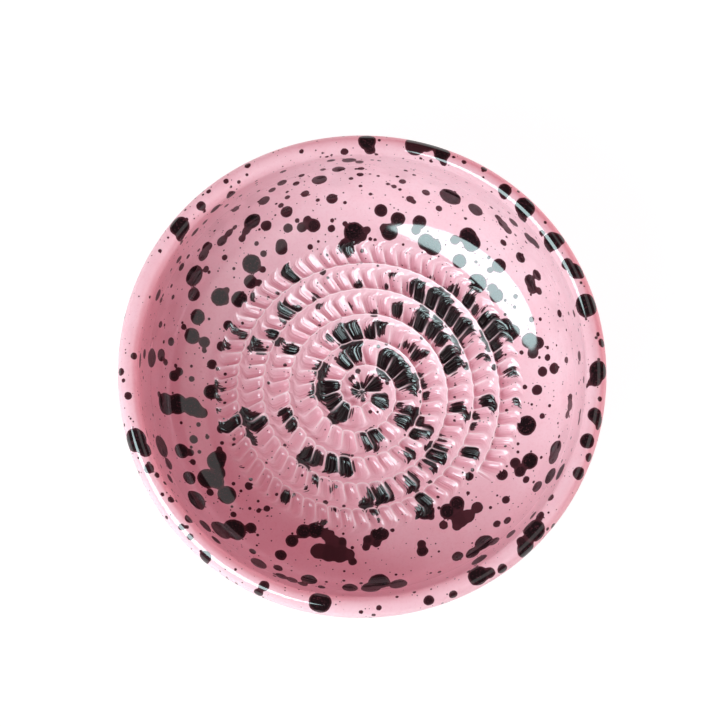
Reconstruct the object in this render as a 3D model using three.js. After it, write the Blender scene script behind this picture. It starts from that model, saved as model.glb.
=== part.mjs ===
// Grater bowl: a thrown and glazed clay bowl on a foot ring, with a rolled rim and one long
// spiral of scooped teeth on its floor, for grating garlic, ginger or hard cheese.
// Millimetres, +Z up. The origin is on the table, under the middle of the bowl.
import * as THREE from 'three';

// Bowl
const RIM_DIAMETER = 130;
const BOWL_HEIGHT = 44;
const RIM_HEIGHT = 6;
const RIM_OVERHANG = 1; // how far the roll stands out past the wall below it
const WALL_THICKNESS = 4.5; // just under the roll
const WALL_FLARE = 15; // from the edge of the flat floor out to the inside of the rim
const FLOOR_THICKNESS = 6;

// Foot ring
const FOOT_HEIGHT = 4;
const FOOT_WIDTH = 7;
const FOOT_SETBACK = 4.5; // from the edge of the flat floor in to the outside of the ring
const FOOT_ROUNDING = 1.5;

// Spiral of teeth
const SPIRAL_START = 2; // radius of the lip where the spiral begins, on +X
const ROW_PITCH = 7.1; // growth of the spiral in one turn
const ROW_GAP = 0.9; // bare floor between the tips of one turn and the lips of the next
const TOOTH_PITCH = 3.35; // along the spiral
const TOOTH_HEIGHT = 1.5;
const LIP_RUN = 0.6; // from the foot of a lip out to its crest
const SCALLOP_DEPTH = 0.9; // how far the lip steps back where two scoops meet
const HEEL_RUN = 1; // from the crest of a lip out to the deepest place of its scoop
const SCOOP_FLOOR = 0.2; // clay left under the deepest place of a scoop
const RIDGE_SHARE = 0.8; // height of the ridge between two scoops, as a share of a lip's
const SLANT = THREE.MathUtils.degToRad(17); // lean of a scoop away from the radius
const FLOOR_MARGIN = 0.6; // bare floor between the last tips and the curve of the wall

// Smoothness
const ROUND_STEPS = 64;
const CURVE_STEPS = 4; // half the steps of a curve
const EDGE_STEPS = 1; // the same, on the foot's small roundings
const TOOTH_STEPS = 4;

// Places that follow from the sizes
const rimRadius = RIM_DIAMETER / 2;
const wallOutside = rimRadius - RIM_OVERHANG;
const wallInside = wallOutside - WALL_THICKNESS;
const wallTop = BOWL_HEIGHT - RIM_HEIGHT;
const floorRadius = wallInside - WALL_FLARE;
const floorTop = FOOT_HEIGHT + FLOOR_THICKNESS;

const DOWN = -Math.PI / 2;
const OUTWARDS = 0;
const UP = Math.PI / 2;
const INWARDS = Math.PI;

function glazedClay() {
  return new THREE.MeshStandardMaterial({ color: 0xe6b3c2, roughness: 0.15, metalness: 0 });
}

function bareClay() {
  return new THREE.MeshStandardMaterial({ color: 0xdcbfa6, roughness: 0.9, metalness: 0 });
}

// A solid of revolution about +Z from an outline in the plane of radius and height.
function turned(name, outline, steps, material) {
  const geometry = new THREE.LatheGeometry(outline.getPoints(steps), ROUND_STEPS);
  geometry.rotateX(Math.PI / 2);
  const mesh = new THREE.Mesh(geometry, material);
  mesh.name = name;
  return mesh;
}

// The ring that the bowl stands on, with rounded lower edges and no glaze.
function footRing() {
  const outside = floorRadius - FOOT_SETBACK;
  const inside = outside - FOOT_WIDTH;
  const outline = new THREE.Path();
  outline.moveTo(inside, FOOT_HEIGHT);
  outline.lineTo(inside, FOOT_ROUNDING);
  outline.absarc(inside + FOOT_ROUNDING, FOOT_ROUNDING, FOOT_ROUNDING, INWARDS, INWARDS + UP);
  outline.absarc(outside - FOOT_ROUNDING, FOOT_ROUNDING, FOOT_ROUNDING, DOWN, OUTWARDS);
  outline.lineTo(outside, FOOT_HEIGHT);
  outline.lineTo(inside, FOOT_HEIGHT);
  return turned('foot_ring', outline, EDGE_STEPS, bareClay());
}

// The outside of the floor and the wall is one quarter ellipse, level under the floor and
// upright under the rim. The floor ends on it at the height of the floor's upper face.
const outsideRise = wallTop - FOOT_HEIGHT;
const outsideRun = wallOutside - floorRadius;
const floorEdge = -Math.asin((wallTop - floorTop) / outsideRise);

// The flat disc of the floor.
function bowlFloor() {
  const outline = new THREE.Path();
  outline.moveTo(0, FOOT_HEIGHT);
  outline.lineTo(floorRadius, FOOT_HEIGHT);
  outline.absellipse(floorRadius, wallTop, outsideRun, outsideRise, DOWN, floorEdge);
  outline.lineTo(0, floorTop);
  return turned('bowl_floor', outline, CURVE_STEPS, glazedClay());
}

// The wall stands on the floor and sweeps up from it, without a corner, to the rim.
function bowlWall() {
  const insideRise = wallTop - floorTop;
  const outline = new THREE.Path();
  outline.absellipse(floorRadius, wallTop, outsideRun, outsideRise, floorEdge, OUTWARDS);
  outline.lineTo(wallInside, wallTop);
  outline.absellipse(floorRadius, wallTop, WALL_FLARE, insideRise, OUTWARDS, DOWN, true);
  outline.closePath();
  return turned('bowl_wall', outline, CURVE_STEPS, glazedClay());
}

// The thick rounded rim on top of the wall.
function rimRoll() {
  const crownRise = RIM_HEIGHT / 2;
  const crownBase = BOWL_HEIGHT - crownRise;
  const crownRun = (rimRadius - wallInside) / 2;
  const outline = new THREE.Path();
  outline.moveTo(wallInside, wallTop);
  outline.lineTo(wallOutside, wallTop);
  outline.absellipse(wallOutside, crownBase, RIM_OVERHANG, crownRise, DOWN, OUTWARDS);
  outline.absellipse(wallInside + crownRun, crownBase, crownRun, crownRise, OUTWARDS, INWARDS);
  outline.lineTo(wallInside, wallTop);
  return turned('rim_roll', outline, CURVE_STEPS, glazedClay());
}

// One cut across the spiral, from the foot of the lip out to the tip of the scoop, as pairs of
// distance from the line of the lips and height. Hollow is 0 where two scoops meet, 1 in the
// middle of a scoop.
function toothSection(hollow) {
  const crest = SCALLOP_DEPTH * (1 - hollow);
  const crestHeight = TOOTH_HEIGHT * THREE.MathUtils.lerp(RIDGE_SHARE, 1, hollow);
  const tip = ROW_PITCH - ROW_GAP - LIP_RUN;
  const heel = crest + HEEL_RUN;
  const ridgeHeight = crestHeight * (tip - heel) / (tip - crest);
  return [
    [crest - LIP_RUN, 0],
    [crest, crestHeight],
    [heel, THREE.MathUtils.lerp(ridgeHeight, SCOOP_FLOOR, hollow)],
    [tip, 0],
  ];
}

// The spiral of teeth, one unbroken band of clay on the floor. It grows clockwise from the
// middle, with its scoops evenly spaced along it, for as many teeth as the floor has room for.
function graterSpiral() {
  const growth = ROW_PITCH / (2 * Math.PI);
  const lastCrest = floorRadius - FLOOR_MARGIN - (ROW_PITCH - ROW_GAP - LIP_RUN);
  const spiralLength = (lastCrest ** 2 - SPIRAL_START ** 2) / (2 * growth);
  const toothCount = Math.floor(spiralLength / TOOTH_PITCH);
  const positions = [];
  const triangles = [];
  const corners = toothSection(0).length;
  const cuts = toothCount * TOOTH_STEPS;
  for (let cut = 0; cut <= cuts; cut += 1) {
    const along = cut * TOOTH_PITCH / TOOTH_STEPS;
    const crestRadius = Math.sqrt(SPIRAL_START ** 2 + 2 * growth * along);
    const turn = (crestRadius - SPIRAL_START) / growth;
    const hollow = Math.sin(Math.PI * (cut % TOOTH_STEPS) / TOOTH_STEPS);
    for (const [offset, height] of toothSection(hollow)) {
      const radius = crestRadius + offset;
      const bearing = Math.tan(SLANT) * offset / radius - turn;
      positions.push(radius * Math.cos(bearing), radius * Math.sin(bearing), floorTop + height);
    }
  }
  for (let cut = 0; cut < cuts; cut += 1) {
    for (let corner = 0; corner < corners; corner += 1) {
      const near = cut * corners + corner;
      const next = cut * corners + (corner + 1) % corners;
      triangles.push(near, near + corners, next);
      triangles.push(next, near + corners, next + corners);
    }
  }
  const last = cuts * corners;
  for (let corner = 1; corner < corners - 1; corner += 1) {
    triangles.push(0, corner, corner + 1);
    triangles.push(last, last + corner + 1, last + corner);
  }
  const geometry = new THREE.BufferGeometry();
  geometry.setAttribute('position', new THREE.Float32BufferAttribute(positions, 3));
  geometry.setIndex(triangles);
  geometry.computeVertexNormals();
  const mesh = new THREE.Mesh(geometry, glazedClay());
  mesh.name = 'grater_spiral';
  return mesh;
}

const graterBowl = new THREE.Group();
graterBowl.add(footRing(), bowlFloor(), bowlWall(), rimRoll(), graterSpiral());

export default graterBowl;
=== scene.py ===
# %% [markdown]
# # A glazed grater bowl
# This bowl is thrown in clay, a spiral of teeth is scooped out of its soft floor, and it is dipped
# in pink glaze, splattered with black and fired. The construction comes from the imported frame, at
# its real size. This lesson gives each of its pieces a fine mesh and a finish: the foot, the floor,
# the wall, the rolled rim and the spiral of teeth.

# %% Load the frame
import math
import random

import bmesh
import bpy
import numpy as np
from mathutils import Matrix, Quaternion, Vector


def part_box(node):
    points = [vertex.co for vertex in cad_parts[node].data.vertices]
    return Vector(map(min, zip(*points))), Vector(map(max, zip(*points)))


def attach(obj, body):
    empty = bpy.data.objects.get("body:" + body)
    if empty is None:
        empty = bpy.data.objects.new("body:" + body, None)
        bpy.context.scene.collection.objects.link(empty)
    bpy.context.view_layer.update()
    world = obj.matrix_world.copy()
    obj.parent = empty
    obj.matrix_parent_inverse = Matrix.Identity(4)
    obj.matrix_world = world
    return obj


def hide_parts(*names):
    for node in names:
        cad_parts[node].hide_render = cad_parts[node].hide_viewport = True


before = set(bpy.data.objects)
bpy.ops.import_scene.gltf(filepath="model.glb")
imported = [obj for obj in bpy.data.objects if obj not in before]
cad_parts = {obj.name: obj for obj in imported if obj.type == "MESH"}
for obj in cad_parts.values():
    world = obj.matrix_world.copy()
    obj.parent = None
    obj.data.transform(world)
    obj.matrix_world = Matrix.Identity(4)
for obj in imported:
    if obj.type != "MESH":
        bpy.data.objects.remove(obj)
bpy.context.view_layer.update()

print("frame nodes:", sorted(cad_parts))

# %% [markdown]
# ## Sizes
# Blender works in metres, so `MM` turns millimetres into them. The heights and the outer radii are
# read from the boxes of the frame's nodes. The few sizes that a box doesn't show, such as the
# thickness of the wall, are written here once.

# %% Sizes of the bowl
MM = 0.001
WALL_THICKNESS = 4.5 * MM
WALL_FLARE = 15 * MM  # from the edge of the flat floor out to the inside of the rim
FOOT_WIDTH = 7 * MM

_, rim_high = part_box("rim_roll")
_, wall_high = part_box("bowl_wall")
floor_low, floor_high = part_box("bowl_floor")
_, foot_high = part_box("foot_ring")

rim_radius, rim_top = rim_high.x, rim_high.z
wall_outside, wall_top = wall_high.x, wall_high.z
wall_inside = wall_outside - WALL_THICKNESS
floor_top, floor_underside = floor_high.z, floor_low.z
floor_radius = wall_inside - WALL_FLARE
foot_outside = foot_high.x
foot_inside = foot_outside - FOOT_WIDTH
print(f"rim radius {rim_radius / MM:.1f} mm, floor radius {floor_radius / MM:.1f} mm")

# %% [markdown]
# ## Turned pieces
# Four of the pieces are round, as everything that comes off a potter's wheel is. Each is half an
# outline in the plane of radius and height, and `bmesh.ops.spin` carries that outline once round
# the Z axis. With `use_merge` the last copy closes onto the first. The curves of the outlines are
# parts of ellipses, so one short function gives the points of all of them.

# %% Helpers for outlines and spinning
AROUND = 600  # steps round the bowl
WELD = 0.0001 * MM  # vertices closer than this become one
DOWN, OUTWARDS, INWARDS = -90, 0, 180  # directions on an ellipse, in degrees


def ellipse(radius, height, run, rise, start, end, steps):
    """Points (radius, height) along part of an ellipse about a centre, from start to end degrees."""
    turns = np.radians(np.linspace(start, end, steps + 1))
    return [(radius + run * math.cos(t), height + rise * math.sin(t)) for t in turns]


def spin(outline, closed=True):
    """A bmesh of an outline of (radius, height) points, spun once round the Z axis."""
    bm = bmesh.new()
    row = [bm.verts.new((radius, 0, height)) for radius, height in outline]
    pairs = zip(row, row[1:] + row[:1] if closed else row[1:])
    edges = [bm.edges.new(pair) for pair in pairs]
    bmesh.ops.spin(bm, geom=row + edges, axis=(0, 0, 1), cent=(0, 0, 0), angle=2 * math.pi,
                   steps=AROUND, use_merge=True)
    bmesh.ops.remove_doubles(bm, verts=bm.verts, dist=WELD)
    bmesh.ops.recalc_face_normals(bm, faces=bm.faces)
    return bm


print(f"{AROUND} steps round the bowl, {2 * math.pi * rim_radius / AROUND / MM:.2f} mm each at the rim")

# %% [markdown]
# ## The potter's hand
# Nothing thrown by hand is a perfect circle. The wall and the rim are pushed in a little, more so
# towards the top, by slow waves round the bowl, and faint throwing rings run up the wall. All pieces
# go through the same function, so their joins still meet.

# %% Out of round and throwing rings
OUT_OF_ROUND = 0.16 * MM
FULL_SIDE = math.radians(140)  # bearing at which the rim keeps its full radius
RING_SPACING = 5.5 * MM
RING_DEPTH = 0.03 * MM
RING_TILT = 0.3  # climb of a ring on one side of the bowl, as a share of the spacing


def hand_made(point):
    """Move a point of the bowl to where a potter's hand would have left it."""
    radius = math.hypot(point.x, point.y)
    if radius < floor_radius:
        return
    bearing = math.atan2(point.y, point.x) - FULL_SIDE
    lift = min(max((point.z - floor_top) / (rim_top - floor_top), 0), 1)
    swell = OUT_OF_ROUND * (math.cos(3 * bearing) + math.cos(4 * bearing) - 2) * lift
    climb = math.sin(bearing) * RING_SPACING * RING_TILT
    rings = RING_DEPTH * math.sin(2 * math.pi * (point.z + climb) / RING_SPACING)
    rings *= 4 * lift * (1 - lift)
    point.x *= 1 + (swell + rings) / radius
    point.y *= 1 + (swell + rings) / radius


probe = Vector((rim_radius, 0, rim_top))
hand_made(probe)
print(f"on +X the rim is pushed in by {(rim_radius - probe.x) / MM:.2f} mm")

# %% [markdown]
# ## From mesh to piece
# A bmesh is only a working copy. Once its shape is right, it goes through the potter's hand, gets
# smooth shading, with hard edges where faces meet steeply, and becomes an object. It is then hung
# on the body that carries it, and the node of the frame that it replaces is hidden. The pieces don't
# move against each other, so they all ride on the one body of the bowl.

# %% Finish a piece
SHARP_ANGLE = math.radians(50)


def finish_piece(name, bm, node):
    """Turn a bmesh into an object that replaces a node of the frame and rides on its body."""
    for vert in bm.verts:
        hand_made(vert.co)
    for edge in bm.edges:
        if edge.calc_face_angle(0) > SHARP_ANGLE:
            edge.smooth = False
    for face in bm.faces:
        face.smooth = True
    mesh = bpy.data.meshes.new(name)
    bm.to_mesh(mesh)
    bm.free()
    piece = bpy.data.objects.new(name, mesh)
    bpy.context.scene.collection.objects.link(piece)
    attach(piece, "root")
    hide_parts(node)
    triangles = len(mesh.loops) - 2 * len(mesh.polygons)
    print(f"{name}: {len(mesh.vertices)} vertices, {triangles} triangles")
    return piece


print(f"edges of more than {math.degrees(SHARP_ANGLE):.0f} degrees stay hard")

# %% [markdown]
# ## The foot
# The foot ring is turned out of the base once the clay is firm, and wiped clean of glaze so that it
# doesn't stick in the kiln. Its lower edges are rounded, because a sharp one would chip.

# %% Foot ring
FOOT_ROUNDING = 1.5 * MM
FOOT_STEPS = 6  # along each rounding
outline = [(foot_inside, floor_underside)]
outline += ellipse(foot_inside + FOOT_ROUNDING, FOOT_ROUNDING, FOOT_ROUNDING, FOOT_ROUNDING,
                   INWARDS, INWARDS + 90, FOOT_STEPS)
outline += ellipse(foot_outside - FOOT_ROUNDING, FOOT_ROUNDING, FOOT_ROUNDING, FOOT_ROUNDING,
                   DOWN, OUTWARDS, FOOT_STEPS)
outline += [(foot_outside, floor_underside)]
foot = finish_piece("turned_foot", spin(outline), "foot_ring")

# %% [markdown]
# ## The floor
# The outside of the floor and the wall is one quarter ellipse, level under the floor and upright
# under the rim. The floor ends on it at its own upper face, which is hollowed a little for the teeth,
# because they are a piece of their own. This outline begins and ends on the axis, so it is left open
# and the spin closes it in the middle.

# %% Floor
TEETH_BED = 1.3 * MM  # depth of the hollow that holds the toothed plate
UNDERSIDE_RINGS = 45
FLOOR_EDGE_STEPS = 20
outside_run = wall_outside - floor_radius
outside_rise = wall_top - floor_underside
floor_edge = -math.degrees(math.asin((wall_top - floor_top) / outside_rise))
bed_level = floor_top - TEETH_BED

underside_stops = np.linspace(0, floor_radius, UNDERSIDE_RINGS, endpoint=False)
outline = [(radius, floor_underside) for radius in underside_stops]
outline += ellipse(floor_radius, wall_top, outside_run, outside_rise, DOWN, floor_edge,
                   FLOOR_EDGE_STEPS)
outline += [(floor_radius, floor_top), (floor_radius, bed_level), (0, bed_level)]
base = finish_piece("bowl_base", spin(outline, closed=False), "bowl_floor")

# %% [markdown]
# ## The wall
# The wall goes on along the same ellipse on its outside. Its inside is a second quarter ellipse,
# eased into the floor by a small arc, so that a finger can wipe the bowl clean. Where arc and ellipse
# cross, taking the higher of the two would leave a crease, so the change is blended instead.

# %% Wall
EASE_START = 38.3 * MM  # radius at which the floor begins to rise
EASE_RADIUS = 24.8 * MM
EASE_BLEND = 0.5 * MM
WALL_OUTSIDE_STEPS = 40
WALL_INSIDE_STEPS = 70


def eased_floor(radius):
    """Height of the arc that eases the floor into the wall."""
    out = min(max(radius - EASE_START, 0), EASE_RADIUS)
    return floor_top + EASE_RADIUS - math.sqrt(EASE_RADIUS ** 2 - out ** 2)


def higher(first, second):
    """The higher of two heights, with a soft change from one to the other."""
    return (first + second + math.hypot(first - second, EASE_BLEND)) / 2


outline = ellipse(floor_radius, wall_top, outside_run, outside_rise, floor_edge, OUTWARDS,
                  WALL_OUTSIDE_STEPS)
inner = ellipse(floor_radius, wall_top, WALL_FLARE, wall_top - floor_top, OUTWARDS, DOWN,
                WALL_INSIDE_STEPS)
outline += inner[:1] + [(radius, higher(height, eased_floor(radius))) for radius, height in inner[1:]]
outline += [(floor_radius, floor_top)]
wall = finish_piece("glazed_wall", spin(outline), "bowl_wall")

# %% [markdown]
# ## The rolled rim
# The rim is rolled over and smoothed with a wet leather, so it is thick, round and a little wider
# than the wall. Its section is a round crown that curls back under to meet the wall.

# %% Rim
UNDER_STEPS = 10
CROWN_STEPS = 28
INNER_SIDE = (0.25, 0.5, 0.75, 1)  # stops down the inner side, as shares of the crown's rise
crown_rise = (rim_top - wall_top) / 2
crown_base = rim_top - crown_rise
crown_run = (rim_radius - wall_inside) / 2
overhang = rim_radius - wall_outside
outline = ellipse(wall_outside, crown_base, overhang, crown_rise, DOWN, OUTWARDS, UNDER_STEPS)[:-1]
outline += ellipse(wall_inside + crown_run, crown_base, crown_run, crown_rise, OUTWARDS, INWARDS,
                   CROWN_STEPS)
outline += [(wall_inside, crown_base - crown_rise * share) for share in INNER_SIDE]
rim = finish_piece("rolled_rim", spin(outline), "rim_roll")

# %% [markdown]
# ## The spiral of teeth
# The potter pulls a small round tool towards the middle, again and again along a spiral. Each pull
# leaves a pointed scoop that gets wider and deeper, and pushes up a thin curved lip at its inner
# end: that lip is what grates. Stamping each scoop with a boolean would be slow and leave poor
# faces. Here a flat grid is wound up like a watch spring instead, so its rows follow the spiral,
# and then each vertex is raised or lowered by the shape of the scoop that it lies in.

# %% Sizes of the spiral
SPIRAL_START = 2 * MM  # radius of the lip where the spiral begins, on +X
ROW_PITCH = 7.1 * MM  # growth of the spiral in one turn
TOOTH_PITCH = 3.35 * MM  # along the spiral
MORE_TEETH = 4  # that the narrow inner turns hold besides
LAST_LIP = 38.2 * MM  # radius at which the spiral ends
TIP_REACH = 7.1 * MM  # from the line of the lips out to the point of a scoop
LAST_MARGIN = 0.2 * MM  # from the last points to the edge of the floor
growth = ROW_PITCH / (2 * math.pi)


def length_to(lip_radius):
    """Length of the spiral from its start to where its lips have reached a radius."""
    return (lip_radius ** 2 - SPIRAL_START ** 2) / (2 * growth)


spiral_length = length_to(LAST_LIP)
tooth_count = int(spiral_length / TOOTH_PITCH)
print(f"{tooth_count} teeth along {spiral_length / MM:.0f} mm of spiral")

# %% [markdown]
# No two pulls of the tool are the same, so each tooth gets its own depth, reach, height of lip and
# lean to one side. A `random` with a seed draws them, so they come out the same every time.

# %% Teeth that differ
UNEVEN = {"depth": (0.65, 1.15), "reach": (0.86, 1), "lip": (0.9, 1.06), "shift": (-0.3, 0.3)}
SPARE_TEETH = 3  # past the end of the spiral, where it fades out
dice = random.Random(4)
teeth = [{name: dice.uniform(*limits) for name, limits in UNEVEN.items()}
         for _ in range(tooth_count + SPARE_TEETH + MORE_TEETH)]
print(f"{len(teeth)} teeth drawn, the first {teeth[0]['depth']:.2f} times as deep as planned")

# %% [markdown]
# A scoop is cut like the groove of a round gouge: curved sides, a steep heel behind the lip and a long
# run out to its point. What is left between two scoops is a ridge, one step lower than the lip. Past
# the points, the clay rises in a plain slope to the lip of the next row. The glaze pools in the
# grooves and thins on the lips, ridges and slopes, so the function also gives those two shares, which
# the glaze uses later, also for painted shade in the grooves and painted highlights on the lips.

# %% Sizes of a scoop
LIP_HEIGHT = 0.85 * MM
LIP_FACE = 1.6 * MM  # run of the slope that rises to a lip from the points of the row inside it
LIP_EDGE = 0.3 * MM  # width over which the glaze breaks thin on the lip
RAMP_THIN = 0.4  # how thin the glaze gets on the slope to a lip
STEP = 0.5 * MM  # run of the drop from the lip to the ridges
RIDGE_HEIGHT = 0.35 * MM  # of the ridge between two scoops, where it leaves the heel
RIDGE_RUN = 5.2 * MM  # over which the ridge falls to the floor
RIDGE_EDGE = 0.26  # share of a scoop's half width over which the glaze breaks thin on a ridge
SCOOP_DEPTH = 1.25 * MM
HEEL = 1.4 * MM  # from the lip to the deepest place of the scoop
ARCH = 0.92  # how far the sides of a scoop rise, as a share of its depth
FULLNESS = 2.8  # how late a scoop narrows towards its point
print(f"lips {LIP_HEIGHT / MM:.2f} mm high, ridges {RIDGE_HEIGHT / MM:.2f} mm")


# %% Shape of one scoop
def ease(share):
    """A smooth step from 0 to 1."""
    share = min(max(share, 0), 1)
    return share * share * (3 - 2 * share)


def scoop(out, across, tooth, reach, next_lip, pitch=ROW_PITCH):
    """Height of the clay, how thin its glaze is and how hollow it lies, at a distance out from the
    crest of a lip and a place across its tooth from -1 to 1."""
    lip = LIP_HEIGHT * tooth["lip"]
    crest = math.exp(-(out / LIP_EDGE) ** 2)
    if out < 0:
        ramp = max(1 + out / LIP_FACE, 0)
        return lip * ramp, max(crest, RAMP_THIN * ramp), 0
    run = min(out / reach, 1)
    heel = 1 - (1 - min(out / HEEL, 1)) ** 2
    hollow = max(heel * (1 - run ** FULLNESS) - ARCH * across ** 2, 0)
    ridge_edge = (1 - run ** 2) * (1 - ease((1 - abs(across)) / RIDGE_EDGE))
    ramp = next_lip * max(1 + (out - pitch) / LIP_FACE, 0)
    step = 1 - (1 - min(out / STEP, 1)) ** 2
    ridge = lip * (1 - step) + RIDGE_HEIGHT * step * max(1 - out / RIDGE_RUN, 0)
    height = max(ridge, LIP_HEIGHT * ramp) - SCOOP_DEPTH * tooth["depth"] * hollow
    return height, max(crest, ridge_edge, RAMP_THIN * ramp), hollow


deepest, _, _ = scoop(HEEL, 0, teeth[0], TIP_REACH, 0)
print(f"the first scoop is {-deepest / MM:.2f} mm deep at its heel")

# %% [markdown]
# The grid gets four layers of numbers on its vertices: how thin the glaze is, how hollow the clay
# lies, a number that grows along the spiral by one with each tooth, and the place to which a drop of
# wet glaze settles, because it slides from the sides of a scoop towards its middle.

# %% Grid and its layers
COLUMNS = 880  # round the bowl
ROW_STOPS = [-0.6, -0.35, -0.15, 0, 0.15, 0.35, 0.6, 0.9,
             1.3, 1.8, 2.5, 3.3, 4.2, 5.1, 5.8, 6.2]  # mm out from the line of the lips
TURNS = 8  # from inside the middle to past the edge of the floor

rows = TURNS * len(ROW_STOPS) - 1
bm = bmesh.new()
bmesh.ops.create_grid(bm, x_segments=COLUMNS, y_segments=rows, size=1)
# how thin the glaze lies; the glaze also uses it to paint a highlight on the lips and ridges
thin = bm.verts.layers.float.new("thin")
# how hollow the clay lies; the glaze also uses it to paint shade into the scoops
hollow = bm.verts.layers.float.new("hollow")
groove = bm.verts.layers.float.new("groove")
settled = bm.verts.layers.float_vector.new("settled")
print(f"flat grid: {len(bm.verts)} vertices")

# %% [markdown]
# Inside the first lip there is no row for the tool to follow, so a few small scoops lie round a hub
# there. They end at the first lip, which is further out with each of them.

# %% Scoops in the middle
MIDDLE_SCOOPS = 7
HUB = 0.8 * MM  # radius of the clay left standing between them
MIDDLE_FADE = 2 * MM  # radius at which they reach their full depth
SETTLING = 0.3  # share by which wet glaze that falls on a scoop moves to its middle
SETTLES = 0.15  # share of the depth from which it moves that far


def spot(radius, turned, height):
    """The point at a radius and a height, at an angle that counts clockwise from +X."""
    return (radius * math.cos(turned), -radius * math.sin(turned), height)


def place_in_middle(vert, turned, radius):
    """Move a vertex inside the first lip to its place on the small scoops in the middle."""
    first_lip = SPIRAL_START + growth * turned
    place = MIDDLE_SCOOPS * turned / (2 * math.pi)
    begun = ease(length_to(first_lip) / TOOTH_PITCH)
    room = first_lip - HUB
    reach = max(room - LAST_MARGIN, LAST_MARGIN)
    height, vert[thin], vert[hollow] = scoop(radius - HUB, 2 * (place % 1) - 1, teeth[int(place)],
                                             reach, begun, room)
    height *= min(radius / MIDDLE_FADE, 1) * ease(2 * math.pi - turned)
    vert[groove] = place
    vert.co = spot(radius, turned, floor_top + height)
    pull = SETTLING * ease(vert[hollow] / SETTLES)
    aside = pull * (place % 1 - 0.5) * 2 * math.pi / MIDDLE_SCOOPS
    vert[settled] = spot(radius, turned - aside, floor_top + height)


print(f"{MIDDLE_SCOOPS} small scoops in the middle")

# %% [markdown]
# All other vertices belong to a tooth. The scoops lean to one side like the blades of a fan, and the
# line of the lips is scalloped, so each lip bows towards the middle of the bowl. A row of the grid
# rarely has a vertex right on a ridge, so the nearest one is moved there, or the ridge would be ragged.

# %% Lean, scallops and ridges
SLANT = math.tan(math.radians(21))  # lean of a scoop away from the radius
SLANT_RUN = 4.6 * MM  # distance out at which the surface turns back towards the next row
SCALLOP = 0.9 * MM
BOW = 0.94  # how much of a half circle the curve of a lip is
STRAIGHTEST, MOST_BOWED = 0.2, 1  # shares of the scallop on two sides of the bowl
STRAIGHT_SIDE = math.radians(60)  # bearing at which the lips are straightest
MORE_ALONG = 30 * MM  # length of the spiral in which most of the further teeth are


def lean(out):
    """How far a scoop has leaned aside, at a distance out from its lip."""
    out %= ROW_PITCH
    return SLANT * min(out, SLANT_RUN) * (1 - ease((out - SLANT_RUN) / (ROW_PITCH - SLANT_RUN)))


def scalloped(across, turned):
    """How far a lip steps back at a place across its tooth."""
    swing = math.cos(turned + STRAIGHT_SIDE)
    share = (MOST_BOWED + STRAIGHTEST) / 2 - (MOST_BOWED - STRAIGHTEST) / 2 * swing
    return SCALLOP * share * (1 - math.sqrt(1 - BOW * across ** 2))


def place_along(along, lip_radius, turned):
    """The place of a vertex, counted in teeth along the spiral, and its angle. A vertex that is
    close to a ridge is moved onto it."""
    place = along / TOOTH_PITCH + MORE_TEETH * (1 - math.exp(-along / MORE_ALONG))
    ridge_line = round(place)
    step = lip_radius * 2 * math.pi / COLUMNS / TOOTH_PITCH
    if abs(place - ridge_line) < step / 2:
        return ridge_line, turned + (ridge_line - place) * TOOTH_PITCH / lip_radius
    return place, turned


print(f"a scoop leans up to {lean(SLANT_RUN) / MM:.1f} mm aside")

# %% [markdown]
# Now the pieces of the shape come together. The function finds how far along the spiral a vertex
# lies, gives it the height of its scoop, and writes its four layers. At both ends of the spiral the
# teeth fade out within the length of one tooth.

# %% Place on the spiral
SCALLOP_FADE = 1.1 * MM  # distance out from which a scoop follows its scalloped lip less and less
SCOOP_MIDDLE = 3.4 * MM  # distance out at which a drop settles


def place_on_spiral(vert, turned, row):
    """Move a vertex of the grid to its place on the spiral. Turned is its angle, clockwise."""
    turn, stop = divmod(row, len(ROW_STOPS))
    out = ROW_STOPS[stop] * MM
    wound = turned + 2 * math.pi * (turn - 1)
    lip_radius = SPIRAL_START + growth * wound
    if wound < 0:
        closed = row == 0 or turned == 0
        place_in_middle(vert, turned, 0 if closed else max(lip_radius + out, 0))
        return
    along = length_to(lip_radius) if wound > 0 else -1
    ends = ease(along / TOOTH_PITCH) * ease((spiral_length - along) / TOOTH_PITCH)
    radius, height, off_middle = lip_radius + out, 0, 0
    if ends > 0:
        place, turned = place_along(along, lip_radius, turned)
        tooth = teeth[int(place)]
        across = 2 * (place % 1) - 1
        off_middle = across / 2 * TOOTH_PITCH
        scallop = scalloped(across, turned) * ends
        follow = 1 - ease((out - SCALLOP_FADE) / (TIP_REACH - SCALLOP_FADE))
        radius += scallop * follow
        across += tooth["shift"] * (1 - across ** 2)
        next_lip = ease((spiral_length - length_to(lip_radius + ROW_PITCH)) / TOOTH_PITCH)
        reach = min(TIP_REACH * tooth["reach"], floor_radius - LAST_MARGIN - lip_radius)
        height, vert[thin], vert[hollow] = scoop(out - scallop * (1 - follow), across, tooth,
                                                 reach, next_lip)
        vert[groove] = place
    radius = min(max(radius, 0), floor_radius)
    level = eased_floor(radius) + height * ends
    aside = ends * lean(out) / max(radius, SPIRAL_START)
    vert.co = spot(radius, turned - aside, level)
    vert[settled] = vert.co
    if vert[hollow] > 0:
        pull = SETTLING * ease(vert[hollow] / SETTLES)
        out += pull * (SCOOP_MIDDLE - out)
        radius = lip_radius + out
        aside = ends * lean(out) / max(radius, SPIRAL_START) + pull * off_middle / lip_radius
        vert[settled] = spot(radius, turned - aside, level)


print(f"each turn has {len(ROW_STOPS)} rows of vertices")

# %% [markdown]
# A vertex of the flat grid tells by where it lies which column and row it is in. Columns go round the
# bowl and rows go outwards, so winding is one move for each vertex. The end of a turn then lies on
# the start of the next, and `remove_doubles` joins them into one unbroken skin.

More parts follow.
